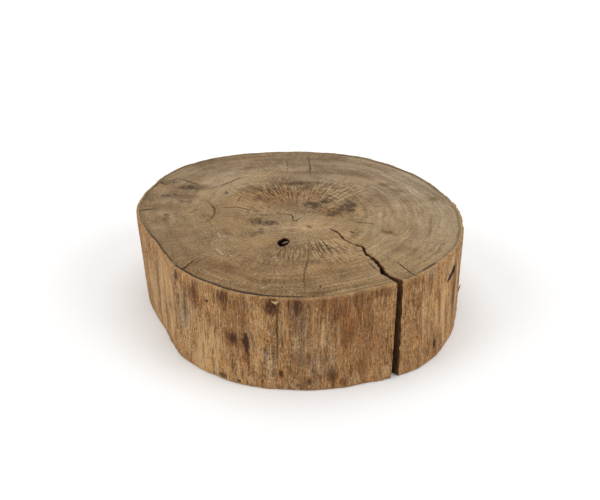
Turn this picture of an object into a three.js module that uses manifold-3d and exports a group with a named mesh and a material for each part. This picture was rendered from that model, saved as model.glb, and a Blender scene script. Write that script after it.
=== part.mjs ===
// Wood slice: one thick cross-cut of a debarked trunk, grown and sawn as a single piece.
// Millimetres, +Z up. The foot lies on z = 0 with the origin at the middle of the slice's box,
// and -Y is the side where the drying crack runs out to the rim.
import * as THREE from "three";
import { mergeVertices } from "three/addons/utils/BufferGeometryUtils.js";
import Module from "manifold-3d";

// Overall size
const THICKNESS = 120;
const EDGE_ROUND = 2.5;
// Radius of the top cut from the log's axis, on bearings spaced evenly round from +X towards +Y
const TOP_RADII = [
  202, 198.5, 199, 200.5, 198.5, 205.5, 215, 208, 198.5, 182.5, 189.5, 197, 200, 197, 202, 204.5,
];
// How far the foot stands out past the top cut, on the same bearings
const FOOT_SPREAD = [0.5, 0.5, 0, 0, 0, 0, -1, -2, -6, -4, -0.5, -1, -1.5, 4, 8.5, 1];
// Shallow flutes that run up the outside: how many go round, how deep, where they start in degrees
const FLUTES = [
  { count: 13, depth: 0.5, start: 20 },
  { count: 29, depth: 0.35, start: 75 },
];

// Drying crack, through the full thickness: [x, y, gap] from its tip by the pith out past the rim
const CRACK = [
  [40, -41, 0.5],
  [55, -67, 1.2],
  [76, -88, 1.8],
  [76, -100, 2.8],
  [88, -119, 3.4],
  [93, -134, 4.6],
  [94, -146, 5.6],
  [104.5, -159, 6],
  [112.5, -169.5, 7.8],
  [123.5, -184.5, 9.4],
];
const CRACK_OVERRUN = 5;

// Rotten knot in the top cut: an oval pit with sloping walls
const KNOT = { x: -14.5, y: -72, across: 15, along: 19, depth: 14, floorShare: 0.45, turn: 20 };

// Scoop under the front rim, where a dead twig has fallen out of the side
const SCOOP = { bearing: 262.5, height: 113, width: 19, tall: 17, depth: 4 };

// Splinter that stands off the right-hand side
const SPLINTER = { bearing: 352, height: 22, length: 15, root: 2.6, lean: 22, sunk: 3.5 };

// Mesh fineness
const BEARINGS = 192;
const SIDE_ROWS = 8;
const ROUND_ROWS = 3;
const KNOT_SIDES = 20;
const SPLINTER_SIDES = 6;
const SCOOP_SIDES = 16;

const WOOD = new THREE.MeshStandardMaterial({ color: 0x96744c, roughness: 0.85, metalness: 0 });
const NOMINAL_RADIUS = 200;
const UP = new THREE.Vector3(0, 0, 1);

const wasm = await Module();
wasm.setup();

// Smooth closed curve through values spaced evenly round a full turn.
function around(values, angle) {
  const turn = (angle / (2 * Math.PI)) * values.length;
  const first = Math.floor(turn);
  const share = turn - first;
  const at = (step) => values[(first + step + 2 * values.length) % values.length];
  const [a, b, c, d] = [at(-1), at(0), at(1), at(2)];
  const cubic = 3 * (b - c) + d - a;
  const square = 2 * a - 5 * b + 4 * c - d;
  return b + 0.5 * share * (c - a + share * (square + share * cubic));
}

// Distance from the log's axis to its outside, at an angle in radians and a height.
function outsideRadius(angle, height) {
  const spread = around(FOOT_SPREAD, angle) * (1 - height / THICKNESS);
  const wave = ({ count, depth, start }) => depth * Math.sin(count * angle + THREE.MathUtils.degToRad(start));
  return around(TOP_RADII, angle) + spread + FLUTES.reduce((sum, flute) => sum + wave(flute), 0);
}

// Point on the outside of the log at a bearing in degrees and a height.
function outsidePoint(bearing, height) {
  const angle = THREE.MathUtils.degToRad(bearing);
  const radius = outsideRadius(angle, height);
  return new THREE.Vector3(radius * Math.cos(angle), radius * Math.sin(angle), height);
}

// Closed solid from a geometry, for joining and cutting.
function solid(geometry) {
  const bare = geometry.clone();
  bare.deleteAttribute("normal");
  bare.deleteAttribute("uv");
  const merged = mergeVertices(bare, 1e-3);
  return new wasm.Manifold(
    new wasm.Mesh({
      numProp: 3,
      vertProperties: new Float32Array(merged.attributes.position.array),
      triVerts: new Uint32Array(merged.index.array),
    }),
  );
}

// The trunk's outside between the two saw cuts: a turned drum, then pushed out to the log's own outline.
function sawnDrum() {
  const rim = NOMINAL_RADIUS - EDGE_ROUND;
  const profile = [new THREE.Vector2(0, 0)];
  for (let row = 0; row <= ROUND_ROWS; row++) {
    const turn = (row / ROUND_ROWS) * (Math.PI / 2);
    profile.push(new THREE.Vector2(rim + EDGE_ROUND * Math.sin(turn), EDGE_ROUND * (1 - Math.cos(turn))));
  }
  const wall = THICKNESS - 2 * EDGE_ROUND;
  for (let row = 1; row < SIDE_ROWS; row++) {
    profile.push(new THREE.Vector2(NOMINAL_RADIUS, EDGE_ROUND + (wall * row) / SIDE_ROWS));
  }
  for (let row = 0; row <= ROUND_ROWS; row++) {
    const turn = (row / ROUND_ROWS) * (Math.PI / 2);
    const height = THICKNESS - EDGE_ROUND * (1 - Math.sin(turn));
    profile.push(new THREE.Vector2(rim + EDGE_ROUND * Math.cos(turn), height));
  }
  profile.push(new THREE.Vector2(0, THICKNESS));

  const drum = new THREE.LatheGeometry(profile, BEARINGS).rotateX(Math.PI / 2);
  const point = new THREE.Vector3();
  const places = drum.attributes.position;
  for (let i = 0; i < places.count; i++) {
    point.fromBufferAttribute(places, i);
    const grow = outsideRadius(Math.atan2(point.y, point.x), point.z) / NOMINAL_RADIUS;
    places.setXYZ(i, point.x * grow, point.y * grow, point.z);
  }
  return solid(drum);
}

// The crack's gap: a wedge that follows the crack's line, run past both saw cuts.
function crackGap() {
  const line = CRACK.map(([x, y]) => new THREE.Vector2(x, y));
  const lip = (side) =>
    line.map((point, i) => {
      const before = line[Math.max(i - 1, 0)];
      const after = line[Math.min(i + 1, line.length - 1)];
      const along = after.clone().sub(before).normalize();
      const half = (side * CRACK[i][2]) / 2;
      return new THREE.Vector2(point.x - along.y * half, point.y + along.x * half);
    });
  const outline = new THREE.Shape([...lip(1), ...lip(-1).reverse()]);
  const depth = THICKNESS + 2 * CRACK_OVERRUN;
  const gap = new THREE.ExtrudeGeometry(outline, { depth, bevelEnabled: false });
  return solid(gap.translate(0, 0, -CRACK_OVERRUN));
}

// The rotten knot's pit, standing a little proud of the top so that it cuts a clean mouth.
function knotPit() {
  const { x, y, across, along, depth, floorShare, turn } = KNOT;
  const mouth = 1;
  const profile = [
    new THREE.Vector2(0, -depth),
    new THREE.Vector2(floorShare / 2, -depth),
    new THREE.Vector2(0.5, 0),
    new THREE.Vector2(0.5, mouth),
    new THREE.Vector2(0, mouth),
  ];
  const pit = new THREE.LatheGeometry(profile, KNOT_SIDES).rotateX(Math.PI / 2).scale(across, along, 1);
  return solid(pit.rotateZ(THREE.MathUtils.degToRad(turn)).translate(x, y, THICKNESS));
}

// The scoop in the side: an oval bowl sunk into the outside by its depth.
function twigScoop() {
  const { bearing, height, width, tall, depth } = SCOOP;
  const place = outsidePoint(bearing, height);
  const bowl = new THREE.SphereGeometry(1, SCOOP_SIDES, SCOOP_SIDES / 2).scale(depth, width / 2, tall / 2);
  return solid(bowl.rotateZ(THREE.MathUtils.degToRad(bearing)).translate(place.x, place.y, place.z));
}

// The splinter: a slim cone with its root sunk in the side and its tip leaning up.
function splinter() {
  const { bearing, height, length, root, lean, sunk } = SPLINTER;
  const outward = new THREE.Vector3(1, 0, 0).applyAxisAngle(UP, THREE.MathUtils.degToRad(bearing));
  const along = UP.clone().lerp(outward, lean / 90).normalize();
  const spike = new THREE.ConeGeometry(root, length, SPLINTER_SIDES).translate(0, length / 2, 0);
  spike.applyQuaternion(new THREE.Quaternion().setFromUnitVectors(new THREE.Vector3(0, 1, 0), along));
  const place = outsidePoint(bearing, height).addScaledVector(outward, root - sunk);
  return solid(spike.translate(place.x, place.y, place.z));
}

// Geometry of a finished solid, with the middle of its box over the origin.
function centred(finished) {
  const { vertProperties, triVerts } = finished.getMesh();
  const geometry = new THREE.BufferGeometry();
  geometry.setAttribute("position", new THREE.BufferAttribute(vertProperties, 3));
  geometry.setIndex(new THREE.BufferAttribute(triVerts, 1));
  geometry.computeBoundingBox();
  const middle = geometry.boundingBox.getCenter(new THREE.Vector3());
  geometry.translate(-middle.x, -middle.y, 0);
  geometry.computeVertexNormals();
  return geometry;
}

const slice = new THREE.Mesh(
  centred(sawnDrum().add(splinter()).subtract(crackGap()).subtract(knotPit()).subtract(twigScoop())),
  WOOD,
);
slice.name = "wood_slice";

const woodSlice = new THREE.Group();
woodSlice.add(slice);

export default woodSlice;
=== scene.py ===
"""Looks of a wood slice: a thick cross-cut of a debarked trunk with a drying crack.

The slice is one mesh, finer than its solid: worn edges, fibres up the side, a rotten knot, torn crack walls
and hairline checks. Lengths are in millimetres in the log's own frame until the mesh is written in metres.
"""

import math

import bpy
import numpy as np
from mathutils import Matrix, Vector, noise
from mathutils.geometry import delaunay_2d_cdt
from mathutils.kdtree import KDTree


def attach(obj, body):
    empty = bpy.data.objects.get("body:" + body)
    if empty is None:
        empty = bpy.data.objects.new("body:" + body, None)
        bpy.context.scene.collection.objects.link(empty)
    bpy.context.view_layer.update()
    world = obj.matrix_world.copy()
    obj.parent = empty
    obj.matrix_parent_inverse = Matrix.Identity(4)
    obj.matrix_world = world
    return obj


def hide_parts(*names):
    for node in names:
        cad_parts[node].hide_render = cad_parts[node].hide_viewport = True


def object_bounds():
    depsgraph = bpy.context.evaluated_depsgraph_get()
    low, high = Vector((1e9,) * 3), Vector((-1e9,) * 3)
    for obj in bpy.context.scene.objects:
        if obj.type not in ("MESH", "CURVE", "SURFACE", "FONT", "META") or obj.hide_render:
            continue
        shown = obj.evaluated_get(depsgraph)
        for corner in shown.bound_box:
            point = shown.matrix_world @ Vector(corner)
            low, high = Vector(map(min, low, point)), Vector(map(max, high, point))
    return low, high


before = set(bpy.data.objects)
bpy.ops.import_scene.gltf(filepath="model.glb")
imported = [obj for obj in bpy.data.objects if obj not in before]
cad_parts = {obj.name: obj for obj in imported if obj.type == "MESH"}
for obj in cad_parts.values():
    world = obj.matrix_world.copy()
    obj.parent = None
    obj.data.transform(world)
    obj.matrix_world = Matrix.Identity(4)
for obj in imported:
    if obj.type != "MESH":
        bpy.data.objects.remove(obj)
CAD_LOW, CAD_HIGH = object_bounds()
MM = 0.001

# Shape of the log, as in its solid
THICKNESS = 120.0
TOP_RADII = [202, 198.5, 199, 200.5, 198.5, 205.5, 215, 208, 198.5, 182.5, 189.5, 197, 200, 197, 202, 204.5]
FOOT_SPREAD = [0.5, 0.5, 0, 0, 0, 0, -1, -2, -6, -4, -0.5, -1, -1.5, 4, 8.5, 1]
FLUTES = [(13, 0.5, 20), (29, 0.35, 75)]
MEAN_RADIUS = 200.0
PITH = np.array([0.0, -12.0])
SCOOP = {"bearing": 262.5, "height": 113, "width": 19, "tall": 17, "depth": 4}
SPLINTER = {"bearing": 352, "height": 22, "length": 15, "root": 2.6, "lean": 22, "sunk": 3.5}

# Rotten knot in the top cut, and the sliver of sound wood left across it
KNOT = {"x": -15.3, "y": -74, "across": 13, "along": 21, "depth": 14, "turn": -18}
SLIVER = {"x": -13.2, "y": -74.2, "turn": 34, "half_length": 8, "half_width": 2.5}

# Lifted flake in the scoop: its middle and thickness, and its corners as degrees across, mm up and mm out
FLAKE = {"bearing": 263.5, "height": 115.5, "thick": 0.7}
FLAKE_CORNERS = [
    (-1.1, 0.6, -0.6),
    (0.1, 0.3, -0.2),
    (1.2, 1.3, -0.4),
    (0.8, -0.6, 0.6),
    (0.3, -2.3, 1.2),
    (-0.2, -1.1, 0.6),
]

# Drying crack: x, y and gap from its tip by the pith out past the rim
CRACK = [
    (40, -41, 0.3),
    (47, -48, 0.4),
    (52, -58, 0.6),
    (57, -70, 0.9),
    (67, -80.5, 1.2),
    (75.6, -85, 1.5),
    (77.2, -88, 1.8),
    (77, -96, 2.4),
    (79, -102, 2.8),
    (89, -118.5, 3.4),
    (94, -134, 4.6),
    (95, -146, 5.0),
    (105.5, -157.8, 5.6),
    (115.5, -168, 7.4),
    (127, -183.2, 8.6),
]
# The crack's walls lean over towards the foot, most at the rim and the western one further
FOOT_GAPE = {"west": 7.6, "east": 4.6}
GAPE_DIRECTION = np.array([-0.85, -0.53])
GAPE_REACH = 45.0
# How far the edges of the crack are chipped where they meet the side, and how far that reaches
MOUTH_CHIP = 1.4
MOUTH_REACH = 5.0

# Fineness of the mesh
RIM_STEP = 2.0
CRACK_STEP = 1.6
SIDE_ROWS = 60
ROUND_ROWS = 4
TOP_STEP = 2.3
FOOT_STEP = 6.0
KNOT_STEP = 0.9
KNOT_SPAN = 16
MARK_STEP = 1.2
MARK_REACH = 0.992
EDGE_ROUND = 2.4
LIP_ROUND = 0.7
SHARP_ANGLE = 42

# Camera, fitted to the photograph's outline
VIEW_TARGET = (3.9, 15.7, 59.8)
VIEW_DISTANCE = 1153.0
VIEW_ELEVATION = 28.9
LENS = 54.0

# Floor, in metres: flat round the slice, then swept up to its edge
FLOOR = {"flat": 12.0, "reach": 30.0, "rise": 4.0, "sides": 64, "rings": 9}

# Studio light: bearing, elevation, strength and softness of each lamp, and the white surround's strength
LAMPS = {
    "overhead_light": (90, 80, 1.04, 60),
    "left_light": (196, 34, 0.86, 40),
    "right_light": (342, 34, 0.92, 40),
}
SURROUND = 0.51

# Thin marks on the top cut: points in plan, width, strength
CHECKS = [
    ([(109, -115), (116, -128), (124, -143), (132, -154), (134, -160)], 2.2, 1.0),
    ([(79, -119), (89, -141)], 2.0, 0.8),
    ([(-115, -117), (-122, -131), (-128, -139), (-133, -141)], 3.6, 1.0),
    ([(-199, 9), (-186, 11), (-173, 14)], 4.0, 1.0),
    ([(30, -70), (34, -82), (40, -95)], 2.4, 1.0),
    ([(24, -70), (29, -87), (34, -98)], 2.4, 0.9),
    ([(-27, -4), (-21, 1), (-8, -3), (-4, -9), (-6, -15), (-1, -21), (3, -12), (9, -8), (17, -3)], 2.2, 0.8),
    ([(22, 42), (30, 43), (36, 39), (31, 31), (42, 32), (45, 39), (51, 44)], 2.4, 0.8),
    ([(66, -20), (74, -24), (84, -25), (96, -29)], 2.6, 0.8),
    ([(62, -46), (69, -51)], 3.4, 0.9),
    ([(20, -74), (28, -100)], 2.0, 0.7),
    ([(14, -72), (20, -96)], 2.0, 0.7),
    ([(46, -80), (58, -100)], 1.8, 0.5),
    ([(-8, 2), (-14, 12), (-6, 16)], 2.0, 0.5),
    ([(102, -119), (113, -123)], 2.8, 0.5),
    ([(147, -137), (154, -134)], 3.0, 0.8),
    ([(26, -171), (25, -177)], 2.4, 0.9),
    ([(-55, -16), (-53, -28)], 2.4, 0.6),
    ([(-46, -19), (-44, -31)], 2.4, 0.7),
    ([(-37, -17), (-36, -29)], 2.2, 0.6),
    ([(-28, -19), (-31, -30)], 2.4, 0.7),
    ([(10, 21), (21, 14), (31, 8)], 2.4, 0.7),
]
CHECK_DEPTH = 1.0
BROWN_LINES = [
    ([(13, -64), (14, -88), (13, -118), (9, -140), (8, -159), (9, -194)], 3.0, 0.9),
    ([(15, 186), (18, 139), (17, 106)], 3.4, 1.0),
    ([(-14, 176), (-13, 118)], 3.0, 0.6),
    ([(-118, 37), (-110, 30), (-103, 15), (-101, 0), (-105, -16), (-113, -26)], 4.6, 1.0),
    ([(-134, -2), (-127, 9), (-120, 13)], 3.6, 0.8),
    ([(-168, 109), (-148, 98), (-130, 85), (-118, 74)], 4.4, 0.9),
    ([(-117, 68), (-95, 86), (-76, 106), (-53, 115)], 4.4, 0.9),
    ([(-100, 15), (-76, 18), (-62, 12), (-48, 10)], 4.0, 0.9),
    ([(-76, 31), (-71, 52)], 3.6, 0.9),
    ([(-121, -131), (-112, -121), (-104, -112), (-94, -106)], 3.6, 0.7),
    ([(-62, -56), (-40, -48), (-14, -46), (8, -50), (13, -64)], 3.0, 0.5),
    ([(169, 13), (163, -18), (156, -63), (146, -99)], 6.0, 0.35),
    ([(150, 10), (145, -18), (142, -44), (132, -74), (118, -98)], 7.0, 0.3),
    ([(178, -40), (175, -62), (167, -86), (154, -117)], 8.0, 0.3),
    ([(146, -81), (134, -98), (122, -114)], 8.0, 0.45),
    ([(184, 20), (188, -20), (184, -52)], 6.0, 0.2),
    ([(131, -12), (128, -40), (116, -66)], 6.0, 0.25),
    ([(26, -126), (37, -128), (38, -139), (26, -139)], 3.0, 0.4),
    ([(60, 72), (72, 54), (79, 36)], 3.6, 0.7),
    ([(-60, 40), (-44, 56), (-38, 76)], 3.0, 0.5),
]
PALE_LINES = [
    ([(-94, -49), (-89, -65)], 2.6, 0.8),
    ([(-93, -88), (-87, -99), (-81, -106)], 3.0, 1.0),
    ([(-78, -101), (-71, -110)], 2.2, 0.7),
    ([(-38, -178), (-30, -172)], 2.6, 0.9),
    ([(-29, -117), (-26, -110), (-17, -112)], 2.2, 0.6),
    ([(-47, -150), (-44, -146)], 2.4, 0.7),
    ([(-7, -183), (-2, -187)], 2.8, 0.9),
    ([(-23, -138), (-19, -152)], 2.0, 0.6),
    ([(2, -36), (10, -42), (16, -40)], 3.0, 0.7),
    ([(-16, -40), (-4, -38), (6, -34)], 3.2, 0.7),
]

# Patches on the top cut: x, y, half length, half width, turn in degrees, strength
DIRT = [
    (20, 24, 13, 8, -20, 1.0),
    (36, 34, 10, 7, 20, 0.7),
    (67, 20, 9, 18, 0, 0.9),
    (46, 3, 12, 10, 30, 0.8),
    (55, 12, 7, 9, 0, 0.75),
    (-50, -22, 10, 9, 0, 0.85),
    (-33, -26, 14, 7, 0, 0.85),
    (0, 88, 20, 6, 0, 0.55),
    (-92, 58, 3, 5, 0, 1.0),
    (109, -50, 6, 2.5, -20, 0.6),
    (-51, -57, 5, 7, 0, 0.75),
    (-42, -48, 4, 6, 0, 0.75),
    (15, -35, 3.5, 5, 0, 0.6),
    (-141, 76, 22, 7, -6, 0.6),
    (-164, 50, 14, 6, 10, 0.55),
    (-142, 33, 10, 5, 0, 0.45),
    (-170, 92, 20, 7, 30, 0.5),
    (-160, -10, 4, 10, 0, 0.45),
]
BROWN = [
    (-130, -88, 50, 28, -30, 0.35),
    (-84, -132, 36, 16, -30, 0.8),
    (3, -120, 20, 16, 0, 0.55),
    (7, -162, 26, 14, 0, 0.5),
    (50, -150, 50, 14, 20, 0.3),
    (-30, 55, 46, 26, 10, 0.85),
    (6, 62, 40, 22, 0, 0.6),
    (-140, 112, 22, 12, 20, 0.6),
    (-90, 172, 40, 10, 15, 0.5),
    (-35, -140, 26, 10, 0, 0.4),
    (46, 8, 30, 22, 0, 0.45),
    (-22, 30, 30, 24, 0, 0.6),
    (-8, -18, 18, 10, 0, 0.4),
    (12, 119, 36, 12, 0, 0.5),
    (2, 90, 40, 8, 0, 0.9),
    (108, 30, 14, 26, 0, 0.5),
    (108, -30, 14, 30, 0, 0.4),
    (108, -85, 16, 14, 0, 0.5),
    (-166, 18, 26, 14, 0, 0.9),
    (-138, -52, 26, 24, 0, 0.6),
    (116, -84, 18, 26, 10, 0.65),
    (93, -62, 14, 16, 0, 0.4),
    (-106, -132, 30, 10, -42, 0.35),
    (32, -140, 24, 12, 0, 0.4),
    (-10, 172, 90, 14, 0, 0.35),
    (-60, -100, 45, 20, 0, 0.3),
    (-134, 77, 24, 10, -4, 1.0),
    (-144, 47, 17, 9, 0, 0.9),
    (-170, 92, 16, 10, 30, 0.6),
    (-158, -24, 6, 20, 10, 0.6),
    (-168, -15, 8, 16, 10, 0.6),
    (-84, 150, 44, 12, 15, 0.35),
    (70, 122, 50, 9, -22, 0.45),
    (118, -2, 9, 40, 8, 0.4),
    (95, 45, 14, 18, 0, 0.5),
    (140, 36, 7, 6, 0, 0.6),
    (62, -20, 22, 8, -10, 0.4),
    (109, -51, 14, 7, -20, 1.0),
    (174, 41, 7, 7, 0, 1.0),
    (129, 67, 11, 5, -20, 0.9),
    (115, 84, 10, 6, 0, 1.0),
    (130, -93, 16, 7, 35, 0.7),
    (141, -49, 10, 22, 0, 0.6),
]
WEAR = [
    (18, -36, 34, 18, 0, 0.7),
    (52, -34, 34, 20, -20, 0.5),
    (26, -88, 16, 8, 0, 0.5),
    (-60, 105, 60, 18, 30, 0.6),
    (-110, 60, 30, 14, 30, 0.5),
    (-120, 5, 22, 24, 0, 0.3),
    (-80, -28, 42, 22, -15, 0.55),
    (-178, 78, 20, 16, 0, 0.6),
    (44, -132, 24, 8, 0, 0.5),
    (66, 8, 34, 16, -20, 0.4),
    (44, -106, 44, 16, -15, 0.5),
    (-45, -150, 24, 10, 0, 0.4),
    (78, 100, 30, 12, -20, 0.5),
    (-76, 40, 32, 28, 0, 0.45),
    (48, -68, 32, 22, -20, 0.85),
    (-50, -72, 32, 20, 0, 0.6),
]
RUST = [
    (-34, 44, 52, 30, 10, 1.0),
    (8, 48, 30, 20, 0, 0.6),
    (48, 4, 24, 14, 0, 1.0),
    (109, -52, 15, 7, -20, 0.9),
    (-128, 108, 26, 12, 20, 0.5),
    (116, 84, 12, 7, 0, 0.7),
    (-100, 24, 18, 22, 0, 0.5),
    (-70, -120, 30, 16, 0, 0.5),
    (30, -134, 26, 12, 0, 0.6),
]
BLEACH = [
    (-88, 98, 46, 30, 25, 0.9),
    (-60, 128, 60, 14, 15, 0.35),
    (150, -40, 14, 34, 0, 0.6),
    (182, -60, 18, 26, 0, 0.6),
    (56, 54, 24, 26, 0, 0.5),
    (180, -15, 28, 62, 5, 0.6),
    (62, 96, 40, 14, -20, 0.5),
]
RAYS = [
    (-24, 58, 56, 34, 0, 1.0),
    (44, 60, 46, 34, 0, 0.9),
    (52, 22, 42, 40, 0, 0.8),
    (40, -86, 34, 32, 20, 0.8),
    (-45, 10, 28, 34, 0, 0.6),
    (-10, -104, 46, 18, 0, 0.5),
]
TOP_PATCHES = {"dirt": DIRT, "brown": BROWN, "wear": WEAR, "rust": RUST, "bleach": BLEACH, "rays": RAYS}

# Patches on the side: bearing, height, half width, half height, strength
SIDE_STAINS_AND_SCOOP_SHADE = [
    (235, 99, 13, 18, 0.8),
    (246.6, 107, 12, 14, 0.9),
    (253.6, 105, 9, 13, 0.45),
    (251.5, 84, 17, 14, 0.45),
    (249.2, 60, 10, 16, 0.9),
    (252, 60, 15, 22, 0.5),
    (252.7, 40, 10, 9, 0.5),
    (239.6, 76, 8, 11, 0.4),
    # This patch is painted shade: it darkens the scoop under the front rim.
    (262.3, 108, 11, 10, 0.9),
    (265.2, 23, 4, 8, 0.9),
    (270, 106, 6, 16, 0.9),
    (276, 70, 6, 34, 0.4),
    (282, 19, 9, 9, 0.6),
    (274, 14, 6, 9, 0.6),
    (319.5, 28, 9, 24, 0.45),
    (333.5, 60, 5, 36, 0.8),
    (229.5, 84, 4, 30, 0.7),
    (224, 90, 3, 34, 0.4),
    (267.5, 104, 6, 26, 0.6),
    (273.2, 102, 6, 26, 0.75),
    (279, 108, 14, 16, 0.6),
    (284.5, 106, 16, 22, 0.75),
    (291, 110, 18, 12, 0.5),
    (286, 76, 12, 18, 0.5),
    (282, 113, 24, 9, 0.7),
    (297, 113, 16, 9, 0.8),
    (266.4, 72, 4, 22, 0.6),
    (273, 76, 6, 24, 0.7),
    (276.5, 96, 6, 14, 0.7),
    (287, 110, 10, 12, 0.8),
    (327.5, 45, 5, 26, 0.6),
    (270, 42, 5, 16, 0.5),
    (278, 22, 14, 12, 0.5),
    (291.5, 22, 7, 14, 0.6),
    (284.5, 10, 5, 8, 0.7),
    (272.5, 14, 5, 16, 0.6),
    (248.5, 106, 12, 14, 0.4),
    (317.6, 106, 8, 12, 0.4),
    (322.5, 74, 4, 20, 0.4),
    (285, 117, 12, 7, 0.75),
    (271.5, 87, 13, 14, 0.75),
    (235.4, 113, 10, 9, 0.75),
    (273.6, 44, 5, 18, 0.7),
    (278.6, 45, 6, 16, 0.6),
    (238.7, 64, 6, 14, 0.5),
    (311, 113, 10, 8, 0.55),
    (213.5, 74, 2.5, 46, 0.55),
    (204, 60, 3, 50, 0.5),
    (20, 70, 12, 30, 0.6),
    (62, 95, 14, 16, 0.7),
    (95, 40, 16, 26, 0.5),
    (128, 80, 10, 30, 0.6),
    (160, 30, 14, 18, 0.6),
    (185, 90, 9, 24, 0.5),
]
GREY = [
    (227.6, 78, 20, 32, 0.9),
    (261.7, 50, 8, 34, 0.9),
    (271, 70, 14, 46, 0.75),
    (276, 36, 14, 36, 0.7),
    (205, 60, 45, 60, 0.45),
    (280.5, 52, 7, 36, 0.9),
    (317, 116, 14, 6, 0.8),
    (267, 90, 6, 30, 0.6),
    (340, 60, 14, 60, 0.5),
    (40, 60, 40, 50, 0.6),
    (110, 60, 30, 60, 0.7),
    (150, 80, 30, 40, 0.6),
]
FELT = [
    (291, 62, 38, 60, 0.9),
    (311, 57, 24, 60, 0.45),
    (321, 48, 8, 40, 0.5),
    (75, 50, 40, 50, 0.6),
    (175, 60, 20, 60, 0.5),
]
# Pale patches on the side. Most are pale wood; the low ones on the left near the foot, at bearings of about
# 205° to 255°, are painted light that stands in for light thrown up off the floor.
PALE_AND_PAINTED_LIGHT = [
    (240, 46, 19, 32, 1.0),
    (237, 12, 26, 16, 1.0),
    (247, 12, 12, 14, 0.8),
    (253, 4, 10, 8, 0.8),
    (208, 20, 26, 34, 0.8),
    (197, 45, 20, 50, 0.75),
    (275.8, 66, 3, 18, 0.6),
    (278.3, 64, 3, 24, 0.7),
    (311, 76, 8, 34, 0.25),
    (320.5, 44, 5, 26, 0.9),
    (251, 22, 6, 18, 0.7),
    (330.5, 104, 9, 12, 0.9),
    (217, 36, 18, 30, 0.8),
    (314, 66, 8, 40, 0.5),
    (257, 32, 9, 26, 0.8),
    (257.5, 95, 6, 20, 0.8),
    (266.5, 85, 5, 34, 0.7),
    (215, 80, 22, 40, 0.6),
    (221, 60, 6, 60, 0.8),
    (208, 60, 8, 60, 0.8),
    (240.5, 108, 8, 14, 0.6),
    (326, 60, 9, 50, 1.0),
    (336.5, 70, 4, 46, 0.9),
    (305, 70, 8, 40, 0.4),
    (255, 11, 9, 12, 0.95),
    (223, 21, 10, 20, 0.85),
    (242, 24, 9, 14, 1.0),
    (288.6, 10, 7, 10, 0.8),
    (299.6, 11, 10, 10, 0.75),
    (5, 50, 14, 50, 0.6),
    (140, 40, 20, 34, 0.7),
    (90, 95, 20, 20, 0.5),
]
SIDE_KNOTS_AND_SCOOP_SHADE = [
    (249.4, 60.7, 8, 13, 0.75),
    (253.9, 60, 4.6, 14, 1.0),
    (239.8, 97.6, 1.8, 2.2, 1.0),
    (244.7, 7, 6, 6, 0.7),
    (251.2, 5, 2, 2, 0.9),
    (319.6, 20.5, 2.4, 6, 1.0),
    (246.6, 112, 9, 9, 0.45),
    (234.5, 104, 6, 12, 0.35),
    (270.5, 110, 5, 10, 0.6),
    (267.5, 112, 1.6, 8, 0.6),
    (274, 13, 5, 7, 0.7),
    (265.2, 23, 2.6, 7, 0.8),
    (282, 19, 5, 7, 0.4),
    # This patch is painted shade: it darkens the scoop under the front rim.
    (262, 107, 9, 7, 0.5),
    (264.1, 66, 1.7, 50, 0.65),
    (225.6, 111, 3.0, 10, 0.8),
    (308, 79, 0.9, 9, 0.5),
    (334, 58, 2.6, 18, 0.5),
    (338.5, 80, 2.6, 26, 0.5),
    (85, 70, 8, 10, 0.8),
    (148, 42, 6, 9, 0.8),
    (30, 30, 5, 7, 0.8),
]
# Where the dark line inside the rim is strong
RIM_DARK = [
    (205, 120, 60, 60, 0.8),
    (252, 120, 70, 60, 1.0),
    (300, 120, 50, 60, 0.35),
    (318, 120, 22, 60, 0.8),
    (233, 120, 40, 60, 1.0),
    (345, 120, 90, 60, 0.45),
    (40, 120, 120, 60, 0.6),
    (140, 120, 150, 60, 0.5),
]
SIDE_PATCHES = {
    "stain_and_scoop_shade": SIDE_STAINS_AND_SCOOP_SHADE,
    "grey": GREY,
    "felt": FELT,
    "pale": PALE_AND_PAINTED_LIGHT,
    "knot": SIDE_KNOTS_AND_SCOOP_SHADE,
    "rim_dark": RIM_DARK,
}
# The slanting black mark near the right-hand edge: bearing and height of its ends, half width
SLANT = {"from": (328.2, 87), "to": (332.8, 94.5), "half": 6.5}
# The knots that are sunk in the side: bearing, height, half width, half height, depth
SUNK_KNOTS = [
    (249.7, 60.7, 7, 11, 0.7),
    (253.9, 60, 3.4, 13, 1.6),
    (239.8, 97.6, 1.8, 2.2, 1.4),
    (244.7, 7, 5, 5, -0.8),
    (319.6, 20.5, 2.4, 6, 1.2),
    (85, 70, 8, 10, -1.0),
    (148, 42, 6, 9, 0.8),
    (30, 30, 5, 7, -0.8),
]
FOLD = {"bearing": 264, "step": 1.1, "width": 14}
SHAGGY = {"bearing": 5, "half": 22, "height": 2.8}


def around(values, angle):
    """Smooth closed curve through values spaced evenly round a full turn, at angles in radians."""
    values = np.asarray(values, float)
    turn = np.asarray(angle) / (2 * math.pi) * len(values)
    first = np.floor(turn).astype(int)
    share = turn - first
    a, b, c, d = (values[(first + step) % len(values)] for step in (-1, 0, 1, 2))
    cubic = 3 * (b - c) + d - a
    square = 2 * a - 5 * b + 4 * c - d
    return b + 0.5 * share * (c - a + share * (square + share * cubic))


def outside_radius(angle, height):
    """Distance from the log's axis to its outside, before the fibres."""
    spread = around(FOOT_SPREAD, angle) * (1 - height / THICKNESS)
    flutes = sum(depth * np.sin(count * angle + math.radians(start)) for count, depth, start in FLUTES)
    return around(TOP_RADII, angle) + spread + flutes


def log_shift():
    """From the log's axis to the frame, in mm: the frame's origin is the middle of the solid's box."""
    bearings = np.linspace(0, 2 * math.pi, 1441)
    reach = np.maximum(outside_radius(bearings, 0), outside_radius(bearings, THICKNESS))
    west = (reach * np.cos(bearings)).min()
    south = (reach * np.sin(bearings)).min()
    return np.array([CAD_LOW.x / MM - west, CAD_LOW.y / MM - south])


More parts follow.
